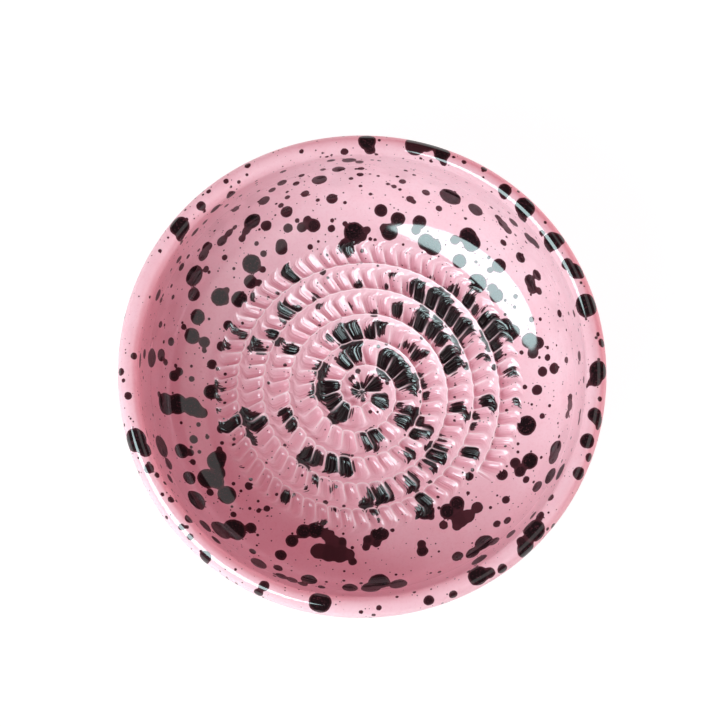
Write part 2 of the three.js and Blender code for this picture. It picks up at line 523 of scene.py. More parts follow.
# %% Wind the grid into the toothed plate
GRID_WELD = 0.001 * MM
for vert in bm.verts:
    column = round((vert.co.x + 1) / 2 * COLUMNS)
    row = round((vert.co.y + 1) / 2 * rows)
    place_on_spiral(vert, 2 * math.pi * column / COLUMNS, row)
bmesh.ops.remove_doubles(bm, verts=bm.verts, dist=GRID_WELD)
edge_loop = [edge for edge in bm.edges if edge.is_boundary]
print(f"wound grid: {len(bm.verts)} vertices, {len(edge_loop)} edges at its rim")

# %% [markdown]
# A skin has no thickness, and a piece has to be closed. The edge of the skin is extruded, the new
# edge is let down into the hollow of the floor, and one large face closes the underside.

# %% Give the toothed plate its thickness
skirt = bmesh.ops.extrude_edge_only(bm, edges=edge_loop)["geom"]
lower = {item for item in skirt if isinstance(item, bmesh.types.BMVert)}
for vert in lower:
    vert.co.z = bed_level
lower_edge = [item for item in skirt
              if isinstance(item, bmesh.types.BMEdge) and lower.issuperset(item.verts)]
bmesh.ops.edgeloop_fill(bm, edges=lower_edge)
bmesh.ops.recalc_face_normals(bm, faces=bm.faces)
spiral = finish_piece("grater_teeth", bm, "grater_spiral")

# %% [markdown]
# ## The camera
# The view is nearly straight down. The edge of the rim appears as an ellipse, and how flat it is, and
# how far the middle of the spiral lies below the middle of the rim, give the angle. A long lens keeps
# the floor almost as large as the rim. The near half of a tilted circle looks larger than the far
# half, so the middle of the rim is seen a little above the middle of its outline.

# %% Camera
FRAME_PIXELS = 727
RIM_PIXELS = 244.7  # half the width of the rim in the picture
RIM_CENTRE = (361.9, 376.3)  # the middle of its outline in the picture, from the upper left
ELEVATION = math.radians(80.3)
DISTANCE = 900 * MM
SENSOR = 36  # mm, as a lens is
CLIP_START = 10 * MM

rim_reach = rim_radius - 2 * OUT_OF_ROUND
focal_pixels = RIM_PIXELS * DISTANCE / rim_reach
pixel = DISTANCE / focal_pixels
near_half = RIM_PIXELS * rim_reach * math.sin(ELEVATION) * math.cos(ELEVATION) / DISTANCE
away = Vector((0, -math.cos(ELEVATION), math.sin(ELEVATION)))
right = Vector((1, 0, 0))
up = away.cross(right)
aim = Vector((0, 0, crown_base))
aim += right * (FRAME_PIXELS / 2 - RIM_CENTRE[0]) * pixel
aim += up * (RIM_CENTRE[1] - near_half - FRAME_PIXELS / 2) * pixel
eye = aim + away * DISTANCE

camera_data = bpy.data.cameras.new("camera")
camera_data.lens = focal_pixels / FRAME_PIXELS * SENSOR
camera_data.sensor_width = SENSOR
camera_data.clip_start = CLIP_START
camera = bpy.data.objects.new("camera", camera_data)
camera.location = eye
camera.rotation_euler = (math.pi / 2 - ELEVATION, 0, 0)
bpy.context.scene.collection.objects.link(camera)
bpy.context.scene.camera = camera
print(f"lens {camera_data.lens:.0f} mm")

# %% [markdown]
# ## Splatter
# Before the firing, a brush loaded with black is flicked over the bowl. The drops land round and
# run together where they touch. Noise alone could splatter the bowl, but not where this one is
# splattered, so inside it each larger drop is put down where it is seen. Its place and radius, in
# pixels of the picture, are listed, and a line of sight through that pixel finds the glaze. A
# drop lies on the surface that it lands on, so on the steep wall it looks narrow from above.

# %% Drops on the rim
RIM_DROPS = [
    (367, 141, 9), (370, 150, 5.5), (376.5, 154.5, 1.8), (380, 157, 1.2), (427, 148.5, 3.8),
    (442, 153, 8.5), (443.5, 163, 3.5), (464, 162, 2.5), (484, 169, 3.5), (505, 190, 6.8),
    (504, 196, 4), (525, 207, 10.5), (522, 218, 5.5), (553, 241, 9.5), (560, 239, 6), (549, 246, 6),
    (542, 233, 3.2), (567, 264, 6), (576.5, 271, 8), (586.5, 305, 12), (598, 334, 2), (596, 338, 1.7),
    (602, 343, 4.5), (599, 370.5, 10), (595.5, 380, 6.5), (589.5, 383, 3), (587, 386, 2.4),
    (585, 389, 1.8), (583.3, 392.5, 1.6), (581.7, 396.5, 1.4), (578.5, 405, 1), (600, 399, 2.6),
    (595, 415, 7.6), (598.5, 421, 6), (598, 427, 3), (587.5, 441, 7.8), (589, 457.5, 4.6),
    (579, 473.5, 6.6), (553, 526, 3), (534, 530, 11.5), (521.5, 541, 5.2), (526, 549.5, 9.5),
    (478, 575.5, 10.4), (489.5, 573, 6), (502.5, 569, 5.6), (453.5, 594.5, 4.6), (429, 600.5, 5.4),
    (361, 612, 2.2), (373.5, 615, 2.2), (379, 608, 3), (320, 602, 11.5), (264, 586, 5.5),
    (258.5, 593, 5), (205, 561, 4), (190, 537, 3.6), (181.5, 527, 3.6), (187, 527, 2.4),
    (135, 440, 12), (145.5, 450, 7.2), (149, 468.5, 5.4), (121, 372, 4), (128, 396, 4),
    (179.5, 226, 10.5), (180.5, 236.5, 5), (208.5, 191.5, 2.5), (201, 206, 4.8), (204.5, 211.5, 1.8),
    (247.5, 165.5, 3.2), (226, 181, 2.7), (231, 187, 1.6), (301.5, 151.5, 2.6),
]
print(len(RIM_DROPS), "drops on the rim")

# %% Drops on the upper left of the inside
UPPER_LEFT_DROPS = [
    (283, 171.5, 3.8), (301.5, 175.5, 3.5), (282, 182.5, 5.3), (296, 183.5, 3.8), (272, 190, 4),
    (319.5, 179.5, 7.8), (323, 169.5, 3), (305, 193.5, 4.5), (287, 192, 2.2), (287.5, 197, 3),
    (318, 200, 2.2), (264, 200.5, 6.4), (281, 205.5, 3.2), (286.5, 211.5, 6.3), (231, 195, 5.4),
    (215.5, 208.5, 6.5), (226.5, 205.5, 2.8), (235.5, 209, 4.3), (195, 232, 5.6), (205, 222, 3.5),
    (252, 221, 9.2), (246, 231, 4.5), (266, 225.5, 5.8), (222, 240.5, 6.2), (229, 233, 4.6),
    (235, 227, 2.9), (242, 238.5, 4), (209, 247, 4.6), (203.5, 255, 6.8), (194, 275.5, 11),
    (206, 246, 5), (206, 269, 3.6), (193.5, 294.5, 7), (297, 220.5, 2.4), (288, 228, 4.8),
    (302, 227.5, 5.2), (307.5, 219.5, 4), (313.5, 225.5, 6.8), (281.5, 244.5, 5.8), (281.5, 249, 6),
    (310, 247, 3), (256.5, 243.5, 2.5), (263.5, 253.5, 3.5), (251.5, 264, 9.6), (262.5, 269.5, 3.4),
    (224.5, 257.5, 3), (250.5, 282, 6.8), (259, 283, 3.8), (220, 297, 9), (226.5, 290, 3.2),
    (225.5, 302, 3), (239.5, 299.5, 8.3), (252.5, 299.5, 3.3), (197.5, 317, 7.8), (192, 336, 8),
    (204.5, 342, 5.6), (204.5, 350.5, 2.6), (179, 259.5, 4.4), (188, 256.5, 2.6), (181.5, 267, 4.6),
    (181.5, 243, 3), (158, 295, 6.2), (161, 300, 3), (171.5, 286, 2.6), (173, 297, 2.8),
    (160.5, 324.5, 3.6), (183.5, 327, 3), (331, 160.5, 4.4), (344.5, 152, 4), (349, 160, 7.3),
    (359.5, 162, 4.4), (338, 169, 6), (343.5, 169, 2), (356, 169, 1.8), (361.5, 168.5, 3.2),
    (360, 174.5, 3.6), (351, 178.5, 2.4), (360.5, 186, 2), (372, 160, 2), (370.5, 194, 2),
    (332, 198.5, 5.8), (381, 210.5, 6.7), (331.5, 228.5, 3.9), (332, 220.5, 2.4), (345, 223.5, 2.5),
    (354, 232.5, 10.5), (367, 230, 4), (356, 240, 5), (345.5, 243, 5), (361, 236, 6), (323, 153, 1.6),
    (320.5, 157, 1.1), (326.5, 157, 1.5), (331.5, 155, 1.6), (375, 240, 1.8), (171, 341.5, 4.3),
    (161, 355, 6.4),
]
print(len(UPPER_LEFT_DROPS), "drops on the upper left")

# %% Drops on the upper right of the inside
UPPER_RIGHT_DROPS = [
    (398, 219, 7.3), (419.5, 222, 7), (389.5, 232, 8.5), (384, 228, 4.5), (416, 230, 5),
    (426, 242, 8.5), (433, 247, 8.5), (455, 240, 5), (468, 236, 9), (472, 243, 9), (459.5, 261, 7.3),
    (477, 283.5, 9.8), (492.5, 288, 5), (496.5, 295.5, 7), (499, 265.5, 7.3), (490, 270, 3.3),
    (476, 262, 1.9), (529.5, 340.5, 8), (533, 353, 5.8), (538, 343, 6.5), (521.5, 352.5, 2.3),
    (450.5, 196.5, 11.6), (475.5, 209.5, 8.4), (439, 208.5, 3.6), (410, 199, 4), (414, 202, 2.6),
    (388, 184, 2.2), (394, 186.5, 3), (400, 189.5, 2.2), (402.5, 181.5, 3.8), (397.5, 176.5, 2.3),
    (405.5, 170.5, 2.4), (413.5, 170, 1.6), (414, 175, 2.2), (426, 192.5, 4.3), (421, 158.5, 1.8),
    (403, 158.5, 1.6), (407.5, 161.5, 1.4), (498.5, 218, 4.6), (503, 224, 6.4), (508, 230, 5.4),
    (513.5, 222.5, 6), (529, 238, 7), (535, 243, 7), (503.5, 242.5, 3.8), (506.5, 237, 1.8),
    (465.5, 218.5, 1.9), (520.5, 257.5, 6), (530, 281, 7), (532, 288, 6), (537, 275, 6),
    (539, 291, 4), (531.5, 319.5, 3), (547.5, 347.5, 2), (547.5, 357.5, 3.6), (542.5, 371.5, 5.2),
    (554.5, 368.5, 5.8), (537, 390, 5.4), (525, 387, 2.6), (566.5, 360, 3.8), (559.5, 313.5, 4),
    (574, 313.5, 4), (515.5, 296.5, 2.6), (586, 319, 1.6), (570, 398, 4.6), (519.5, 406.5, 1.5),
    (542.5, 416, 3),
]
print(len(UPPER_RIGHT_DROPS), "drops on the upper right")

# %% Drops on the lower left of the inside
LOWER_LEFT_DROPS = [
    (151.5, 358, 9.6), (140, 360.5, 7.4), (134, 356, 4), (144.5, 354, 5), (212, 364.5, 5),
    (221.5, 346.5, 5.2), (228.5, 347, 2.6), (174, 376, 5.6), (179, 371.5, 4.4), (175.5, 365.5, 2),
    (165.5, 362.5, 3.4), (191.5, 379, 3), (211, 392, 7.8), (217, 386, 3.6), (223, 389.5, 2.6),
    (166, 404, 11.4), (159, 394.5, 3), (177.5, 404, 10.6), (191.5, 406.5, 9.5), (203, 413, 5),
    (198, 412, 6), (219.5, 400, 3), (219.5, 411.5, 3.6), (161, 446.5, 11.6), (181.5, 451, 7.8),
    (190.5, 452.5, 3.8), (193.5, 439.5, 4.4), (207.5, 437, 2.6), (198.5, 424.5, 2.5), (216, 461, 9.6),
    (219.5, 457, 7), (218.5, 473, 7), (207, 478.5, 10), (217, 482, 7.5), (189, 478, 7.4),
    (193, 462, 3), (227, 495, 9.6), (196, 500.5, 11.5), (210, 492.5, 4), (168.5, 464, 6),
    (157, 475, 3), (165, 483, 2.4), (172, 490, 2), (178, 496, 1.6), (170, 478.5, 5),
    (171, 499.5, 3.6), (162.5, 494.5, 2.2), (249, 486, 4.2), (267, 508.5, 3.2), (258.5, 510.5, 2.6),
    (233.5, 514.5, 3.2), (222, 443, 2.2), (219.5, 449, 3), (205, 526, 8), (189, 519, 5),
    (220.5, 530.5, 11.6), (234.5, 530, 12), (251, 528, 5.8), (216, 540, 6), (252.5, 551.5, 4),
    (281, 555, 6.2), (292, 541, 6.5), (303.5, 531.5, 7.5), (316, 530, 8.5), (324, 521.5, 3),
    (342, 542, 5), (352.5, 561.5, 4.4), (378, 534, 7.6), (368, 540, 5), (383, 534, 6),
    (376.5, 542.5, 5), (366, 547, 4.4), (392.5, 530, 2.4), (258.5, 563.5, 9), (278, 568, 5),
    (281, 576, 6), (292, 580, 6), (303, 584, 5), (309, 580, 8.5), (321.5, 587, 4), (350, 588, 8),
    (371, 588, 10), (379, 582.5, 11), (244, 468, 1.5),
]
print(len(LOWER_LEFT_DROPS), "drops on the lower left")

# %% Drops on the lower right of the inside
LOWER_RIGHT_DROPS = [
    (526.5, 425.5, 10.2), (515, 463, 5.5), (520, 471, 6.4), (530, 461, 8.6), (502, 474.5, 6),
    (526, 479.5, 3.8), (506, 500, 4.2), (497, 524, 4), (507.5, 520.5, 4.3), (468, 493, 2.2),
    (515.5, 433.5, 2), (518, 444, 2), (518, 452, 1.8), (556, 449, 9), (554, 457, 8), (550.5, 476, 9),
    (560.5, 472, 9), (537.5, 486.5, 6.4), (550.5, 497.5, 4), (540, 515.5, 4.6), (533, 515.5, 5),
    (457, 503.5, 7.5), (447.5, 511.5, 8), (421.5, 544, 4.6), (422.5, 551, 6), (484, 543, 10),
    (473, 553, 8), (494.5, 541.5, 6), (457.5, 556.5, 6), (479.5, 560, 9), (511, 534, 6),
    (398.5, 584.5, 9),
]
print(len(LOWER_RIGHT_DROPS), "drops on the lower right")

# %% Thin drops, which fired to maroon
MAROON_DROPS = [
    (319, 551, 8.5), (329, 552.5, 10), (340, 554, 9.5), (349, 554.5, 6), (327.5, 534.5, 7),
    (334.5, 540, 5), (460, 519, 9), (468, 516, 7), (443.5, 525, 4.6), (457, 526, 5), (477, 507.5, 6),
    (570, 405.5, 5.5), (567.5, 414.5, 4.2), (580, 413, 4.5), (579, 421, 4.5), (579.5, 356, 5.5),
]
print(len(MAROON_DROPS), "drops of thin maroon")

# %% Drops on the teeth
TOOTH_DROPS = [
    (345.5, 248, 7), (288, 273, 6), (294.5, 278.5, 4), (285, 308.5, 6.2), (294.5, 310, 5),
    (283.5, 319, 4.8), (314.5, 296.5, 4.6), (319, 306.5, 3.2), (322.5, 271.5, 3.6),
    (275.5, 292.5, 1.8), (228.5, 325.5, 4.5), (236.5, 330, 4), (241.5, 335.5, 2.5), (255, 343, 5),
    (260, 351, 4.5), (250, 349, 3.5), (272, 333, 5), (276, 340.5, 5), (281, 342, 4),
    (290.5, 350.5, 5.2), (358, 284, 3.5), (351, 306, 2.4), (349, 337.5, 13), (353, 351.5, 8),
    (346.5, 360, 7), (369.5, 334.5, 5), (320, 370.5, 8.5), (311.5, 383, 3.5), (325, 392.5, 10),
    (314.5, 393.5, 7), (333, 386.5, 4.5), (337, 406.5, 8), (343.5, 412.5, 8), (348, 414, 5),
    (333, 419.5, 6), (359, 389.5, 7), (370.5, 379, 4), (373.5, 385, 7), (368, 385, 4),
    (381, 400.5, 6), (383.5, 396, 4), (390.5, 366.5, 13), (386.5, 353, 5), (394, 376, 5),
    (402, 371.5, 8), (402.5, 385, 5), (410, 380, 6), (412.5, 386.5, 6), (419.5, 376, 5.5),
    (422.5, 385, 5), (426.5, 395, 3.5), (413.5, 347.5, 4), (416.5, 354.5, 4), (424, 354.5, 4),
    (410, 416.5, 9), (417, 412.5, 5), (403.5, 419.5, 6), (418.5, 422, 6), (415, 433.5, 6),
    (427, 430.5, 6), (441.5, 437, 4), (445.5, 439, 3), (372.5, 432.5, 6), (378, 433.5, 6),
    (368, 436.5, 6), (371, 443, 6), (376.5, 447, 4), (400.5, 344, 2.2), (406.5, 344.5, 2.4),
    (351.5, 378, 2.2), (358, 371.5, 2.6), (329, 338.5, 3), (401, 404.5, 2.6), (363.5, 400.5, 2),
    (245, 414, 6), (240.5, 419, 8), (229, 427.5, 6), (221.5, 429, 4), (254.5, 421.5, 8),
    (260.5, 420, 4), (247.5, 433, 5), (254.5, 441.5, 4.5), (282.5, 412, 4), (289, 418.5, 6),
    (295, 420, 4), (291, 427.5, 4), (309, 456.5, 7), (315, 459, 6), (300.5, 461, 5), (305, 466.5, 5),
    (333, 464.5, 7), (342, 466, 8), (350, 468, 6), (328.5, 467.5, 4), (345, 457, 5), (318, 481, 4.5),
    (306.5, 488, 3), (331.5, 489, 3.5), (335, 510, 3), (325.5, 502.5, 2.5), (286, 498, 4),
    (293.5, 496.5, 2.4), (431, 447.5, 6.5), (440.5, 450.5, 6), (431, 459.5, 6), (441.5, 458.5, 5),
    (421, 468, 3), (433.5, 468.5, 2.5), (410, 453.5, 6), (459, 409.5, 5.5), (467, 415.5, 5),
    (476, 416.5, 4), (473, 425.5, 4), (488.5, 400.5, 6), (492.5, 406.5, 5), (502.5, 400, 2.4),
    (515.5, 400.5, 3.4), (471, 452.5, 6), (469, 476, 4), (430, 482, 2.5), (412, 480, 6.5),
    (414, 486, 5.5), (385.5, 491, 6), (383.5, 497.5, 7), (372, 493.5, 5), (376, 511.5, 4.5),
    (366, 505, 7), (391.5, 497.5, 4), (424, 500.5, 7), (425, 510.5, 8), (418, 493, 3),
    (431, 516.5, 3), (416, 286.5, 7), (418.5, 297, 7), (434, 294.5, 7), (441.5, 299.5, 8),
    (427.5, 304.5, 8), (445.5, 311, 8), (439, 318.5, 6), (453, 318.5, 6.5), (464.5, 327.5, 8),
    (458, 338, 6.5), (421, 315, 7), (414.5, 322.5, 5.5), (423.5, 325, 6), (434, 329, 7),
    (441.5, 338, 6), (446.5, 352, 6), (451.5, 360.5, 8), (451.5, 369.5, 6), (458, 349, 4),
    (442.5, 288, 3), (453, 289.5, 6), (468, 302, 7), (474.5, 308.5, 4), (467, 306, 5),
    (483.5, 322.5, 8), (492.5, 321, 6.5), (488.5, 334, 9), (499, 330, 7), (505, 325, 6),
    (492.5, 345.5, 7.5), (497.5, 353, 5), (513, 331.5, 6), (510, 335, 5.5), (466.5, 366, 4),
    (495, 367, 3.5), (510.5, 371.5, 5.4), (397.5, 309, 5), (390.5, 275.5, 3), (386, 285, 2.5),
    (431, 276.5, 3.5), (374, 313.5, 5), (377.5, 327.5, 6.5), (371, 331.5, 4), (472, 341.5, 2.5),
    (479, 356.5, 2.5), (486.5, 357, 3.2), (483.5, 309, 2.2),
]
print(len(TOOTH_DROPS), "drops on the teeth")

# %% [markdown]
# A drop flies along its line of sight. `ray_cast` gives the place where that line meets a mesh, and
# of all glazed pieces the nearest place counts. How far away it is turns the radius in pixels into a
# real one. Small drops are thin and fire brown, large ones are thick and fire black.

# %% Let the drops land
THICK_DROP = 7.5  # pixels of radius from which a drop is thick enough to fire black
THIN_DROP = 2.5  # and below which it fires brown
BROWN_SHARE = 0.7  # how far such a small drop goes from black to maroon
SPREAD_ON_TEETH = 1.2  # a drop spreads along the grooves of the teeth
GROUPS = [(RIM_DROPS, 0), (UPPER_LEFT_DROPS, 0.2), (UPPER_RIGHT_DROPS, 0.25), (LOWER_LEFT_DROPS, 0.1),
          (LOWER_RIGHT_DROPS, 0.15), (MAROON_DROPS, 1), (TOOTH_DROPS, -0.2)]  # and how much thinner each is
glazed = [wall, rim, spiral, base]
bpy.context.view_layer.update()


def land(start, direction):
    """The first place where a drop flying from a start meets the glaze."""
    hits = [piece.ray_cast(start, direction) for piece in glazed]
    places = [place for hit, place, _, _ in hits if hit]
    return min(places, key=lambda place: (place - start).length, default=None)


def sight(across, down):
    """The direction in which a pixel of the picture is seen from the camera."""
    return (right * (across - FRAME_PIXELS / 2) + up * (FRAME_PIXELS / 2 - down)
            - away * focal_pixels).normalized()


drops = []
for group, thinner in GROUPS:
    for across, down, size in group:
        size *= SPREAD_ON_TEETH if group is TOOTH_DROPS else 1
        place = land(eye, sight(across, down))
        if place is None:
            print("a drop misses the bowl:", across, down)
            continue
        distance = (eye - place).dot(away)
        tone = thinner + BROWN_SHARE * (THICK_DROP - size) / (THICK_DROP - THIN_DROP)
        drops.append((place, size * distance / focal_pixels, min(max(tone, 0), 1)))
seen_drops = len(drops)
print(f"{seen_drops} drops landed inside")

# %% [markdown]
# The outside isn't in view from above. It was splattered in the same way, so drops of like sizes fly
# at it from all round, with a seed that makes them land in the same places every time.

# %% Drops on the outside
OUTSIDE_DROPS = 230
FLIGHT = 200 * MM
AIM_HEIGHTS = (0.1, 0.95)  # shares of the bowl's height
FLIGHT_SLOPES = (-0.5, 0.1)
SMALLEST_DROP = 0.5 * MM
DROP_RANGE = 2.6 * MM  # from the smallest to the largest
RARITY = 2.4  # how rare large drops are
OUTSIDE_TONES = (0, 0.8)
dice = random.Random(11)
for _ in range(OUTSIDE_DROPS):
    bearing = dice.uniform(0, 2 * math.pi)
    target = Vector((0, 0, dice.uniform(*AIM_HEIGHTS) * rim_top))
    slope = dice.uniform(*FLIGHT_SLOPES)
    start = target + Vector((math.cos(bearing), math.sin(bearing), slope)) * FLIGHT
    size = SMALLEST_DROP + DROP_RANGE * dice.random() ** RARITY
    place = land(start, (target - start).normalized())
    if place is not None:
        drops.append((place, size, dice.uniform(*OUTSIDE_TONES)))
print(f"{len(drops) - seen_drops} drops landed outside")

# %% [markdown]
# The drops become two numbers on each vertex: `drops`, the distance to the nearest edge of a drop in
# millimetres, below zero inside it, and `tone`, from 0 for thick black to 1 for thin maroon. Adding
# up falling exponentials instead of taking the least distance makes neighbours flow together. On the
# steep wall a drop runs down a little before it dries, so heights count for less than widths. On the
# teeth, the place to which a drop settles is used instead of the vertex itself.

# %% Write the drops on the vertices
FLOW = 0.2 * MM  # reach over which two drops run together
FAR = 10 * MM  # past which all distances count as the same
RUNS = (1, 1, 0.85)  # how much a distance counts along X, Y and Z
BLOCK = 4096  # vertices worked on at once
centres = np.array([place for place, _, _ in drops]) * RUNS
sizes = np.array([size for _, size, _ in drops])
drop_tones = np.array([tone for _, _, tone in drops])


def splash(piece):
    """Write the drops attribute and the tone attribute on a piece's vertices."""
    mesh = piece.data
    places = np.empty(len(mesh.vertices) * 3)
    mesh.vertices.foreach_get("co", places)
    if "settled" in mesh.attributes:
        mesh.attributes["settled"].data.foreach_get("vector", places)
    places = places.reshape(-1, 3) * RUNS
    gaps, tones = [], []
    for part in np.array_split(places, len(places) // BLOCK + 1):
        square = (part ** 2).sum(1)[:, None] + (centres ** 2).sum(1) - 2 * part @ centres.T
        gap = np.sqrt(np.maximum(square, 0)) - sizes
        weight = np.exp(-np.minimum(gap, FAR) / FLOW)
        gaps.append(-FLOW * np.log(weight.sum(1)) / MM)
        tones.append(weight @ drop_tones / weight.sum(1))
    for name, values in (("drops", np.concatenate(gaps)), ("tone", np.concatenate(tones))):
        mesh.attributes.new(name, "FLOAT", "POINT").data.foreach_set("value", values)
    print(f"{piece.name}: {np.mean(np.concatenate(gaps) < 0):.0%} of its vertices lie in a drop")


for piece in glazed:
    splash(piece)

# %% [markdown]
# ## Glaze
# The glaze is a glossy pink glass over the clay, with the black melted into it. All of it is one
# material, whose colours are mixed by the attributes above and by noise. The noise reads Object
# coordinates, which stay with the bowl wherever it is moved. A few helpers add a node, set its values
# and make its links, so that each finish takes only a few lines.

# %% Helpers for nodes
def add_node(tree, kind, inputs=None, **settings):
    """Add a node, set its properties, and set or link its inputs."""
    node = tree.nodes.new(kind)
    for name, value in settings.items():
        setattr(node, name, value)
    for name, value in (inputs or {}).items():
        if isinstance(value, bpy.types.NodeSocket):
            tree.links.new(value, node.inputs[name])
        else:
            node.inputs[name].default_value = value
    return node


def math_node(tree, operation, first, second):
    """The output of a Math node of two numbers or sockets."""
    return add_node(tree, "ShaderNodeMath", {0: first, 1: second}, operation=operation).outputs[0]


def blend_colours(tree, share, first, second):
    """The output of a Mix node of two colours."""
    node = add_node(tree, "ShaderNodeMix", data_type="RGBA")
    for socket, value in ((node.inputs[0], share), (node.inputs[6], first), (node.inputs[7], second)):
        if isinstance(value, bpy.types.NodeSocket):
            tree.links.new(value, socket)
        else:
            socket.default_value = value
    return node.outputs[2]


def spread(tree, value, low, high, to_low=0, to_high=1):
    """Map a range of values smoothly to another range, and hold it at the ends."""
    inputs = {"Value": value, "From Min": low, "From Max": high, "To Min": to_low, "To Max": to_high}
    return add_node(tree, "ShaderNodeMapRange", inputs, interpolation_type="SMOOTHSTEP").outputs[0]


def noise(tree, where, scale, detail=2):
    """The output of a Noise node."""
    inputs = {"Vector": where, "Scale": scale, "Detail": detail}
    return add_node(tree, "ShaderNodeTexNoise", inputs).outputs["Fac"]


def new_material(name):
    """A new material, its node tree and its main shader."""
    material = bpy.data.materials.new(name)
    material.use_nodes = True
    return material, material.node_tree, material.node_tree.nodes["Principled BSDF"]


helpers = (add_node, math_node, blend_colours, spread, noise, new_material)
print("helpers:", ", ".join(helper.__name__ for helper in helpers))

# %% Glaze material
glaze, tree, shader = new_material("splattered_glaze")
where = add_node(tree, "ShaderNodeTexCoord").outputs["Object"]
layer = {name: add_node(tree, "ShaderNodeAttribute", attribute_name=name).outputs["Fac"]
         for name in ("drops", "tone", "thin", "hollow", "groove")}
for piece in glazed:
    piece.data.materials.append(glaze)
print(f"the glaze is on {len(glazed)} pieces and reads {', '.join(layer)}")

# %% [markdown]
# Glass looks deeper where there is more of it. The pink is a little cloudy, turns to rose in the
# scoops, partly where it pools and partly as painted shade, and turns almost white on the lips and
# ridges, partly where it breaks thin and partly as a painted highlight.

# %% Pink
PALE_PINK = (0.87, 0.56, 0.63, 1)
PINK = (0.85, 0.51, 0.58, 1)
# rose of pooled glaze, also used as painted shade in the scoops and as a random mottle
ROSE = (0.78, 0.38, 0.46, 1)
# pale pink where the glaze breaks thin, also used as a painted highlight on the lips and ridges
BROKEN_PINK_AND_HIGHLIGHT = (1, 0.84, 0.87, 1)

cloud = spread(tree, noise(tree, where, 90, 3), 0.3, 0.7)
pink = blend_colours(tree, cloud, PINK, PALE_PINK)
# painted shade: the scoops turn rose with their depth, partly pooled glaze and partly the shade that falls
# in them
pink = blend_colours(tree, spread(tree, layer["hollow"], 0, 1, 0, 0.75), pink, ROSE)
grain = spread(tree, noise(tree, where, 1400, 3), 0.45, 0.75, 0, 0.3)
pink = blend_colours(tree, grain, pink, ROSE)
# painted highlight: lips and ridges turn almost white, partly thin broken glaze and partly the light that
# catches them
pink = blend_colours(tree, spread(tree, layer["thin"], 0.45, 1, 0, 0.9), pink, BROKEN_PINK_AND_HIGHLIGHT)
print(f"pink: {len(tree.nodes)} nodes so far")

# %% [markdown]
# A drop ends where its distance is zero. Noise makes that edge slightly uneven, and fine scores that
# the tool left along the scoops draw it out. The scores are noise in one dimension, across the
# grooves. Where the glaze is thin a drop shrinks, so black that fell on a lip has run off it.

# %% Edges of the drops
marks = add_node(tree, "ShaderNodeTexNoise", {"W": layer["groove"], "Scale": 6, "Detail": 1},
                 noise_dimensions="1D").outputs["Fac"]
drawn = math_node(tree, "MULTIPLY", spread(tree, marks, 0.3, 0.7, -0.28, 0.2),
                  spread(tree, layer["hollow"], 0, 0.2))
uneven = math_node(tree, "MULTIPLY", noise(tree, where, 420), 0.5)
edge = math_node(tree, "ADD", layer["drops"], math_node(tree, "ADD", uneven, drawn))
edge = math_node(tree, "ADD", edge, math_node(tree, "MULTIPLY", layer["thin"], 0.5))
cover = spread(tree, edge, 0.32, 0.18)
drop_depth = spread(tree, edge, 0.2, -0.5)
print(f"edges of the drops: {len(tree.nodes)} nodes so far")

# %% [markdown]
# The brush also throws a mist of specks, too many to put down one by one. A Voronoi texture has one
# point in each of its cells, and the cell's random colour decides how large its speck is, if it has
# one at all. Two sizes of cells give fine and finer specks.

# %% Specks
SPECKS = ((900, -0.3, 0.22), (430, -0.65, 0.26))  # scale, then the least and the most size
for scale, least, most in SPECKS:
    cell = add_node(tree, "ShaderNodeTexVoronoi", {"Vector": where, "Scale": scale})
    lot = add_node(tree, "ShaderNodeSeparateColor", {0: cell.outputs["Color"]}).outputs[0]
    speck_size = spread(tree, lot, 0, 1, least, most)
    within = math_node(tree, "SUBTRACT", speck_size, cell.outputs["Distance"])
    cover = math_node(tree, "MAXIMUM", cover, spread(tree, within, 0, 0.03))
print(f"specks: {len(tree.nodes)} nodes so far")

# %% [markdown]
# The black is black only where it is thick. It turns brown at the edge of a drop, in thin drops and
# in a fine mottle, less so in the scoops, where it pools. On lips and ridges it is worn through.

# %% Black and brown
BLACK = (0.006, 0.003, 0.004, 1)
BROWN = (0.07, 0.02, 0.028, 1)

mottle = spread(tree, noise(tree, where, 1700), 0.5, 0.72, 0, 0.7)
thin_black = math_node(tree, "MAXIMUM", layer["tone"], mottle)
pooled = spread(tree, layer["hollow"], 0, 0.25, 1, 0.3)
thin_black = math_node(tree, "MULTIPLY", thin_black, pooled)
thick = math_node(tree, "MULTIPLY", drop_depth, math_node(tree, "SUBTRACT", 1, thin_black))
black = blend_colours(tree, thick, BROWN, BLACK)
worn = spread(tree, layer["thin"], 0.35, 1, 1, 0.25)
colour = blend_colours(tree, math_node(tree, "MULTIPLY", cover, worn), pink, black)
tree.links.new(colour, shader.inputs["Base Color"])
print(f"colours: {len(tree.nodes)} nodes so far")

# %% [markdown]
# The surface is glassy and ripples a little. It is less glossy where the glaze is thin, and where it
# is seen at a low angle, so that the wall doesn't mirror the whole bowl. The scores of the tool are a
# bump, and show most in the black, which was thick when it was put on.

# %% Gloss and scores
GLASS_IOR = 1.58
SCORE_DEPTH = 0.6 * MM
RIPPLE_DEPTH = 0.1 * MM

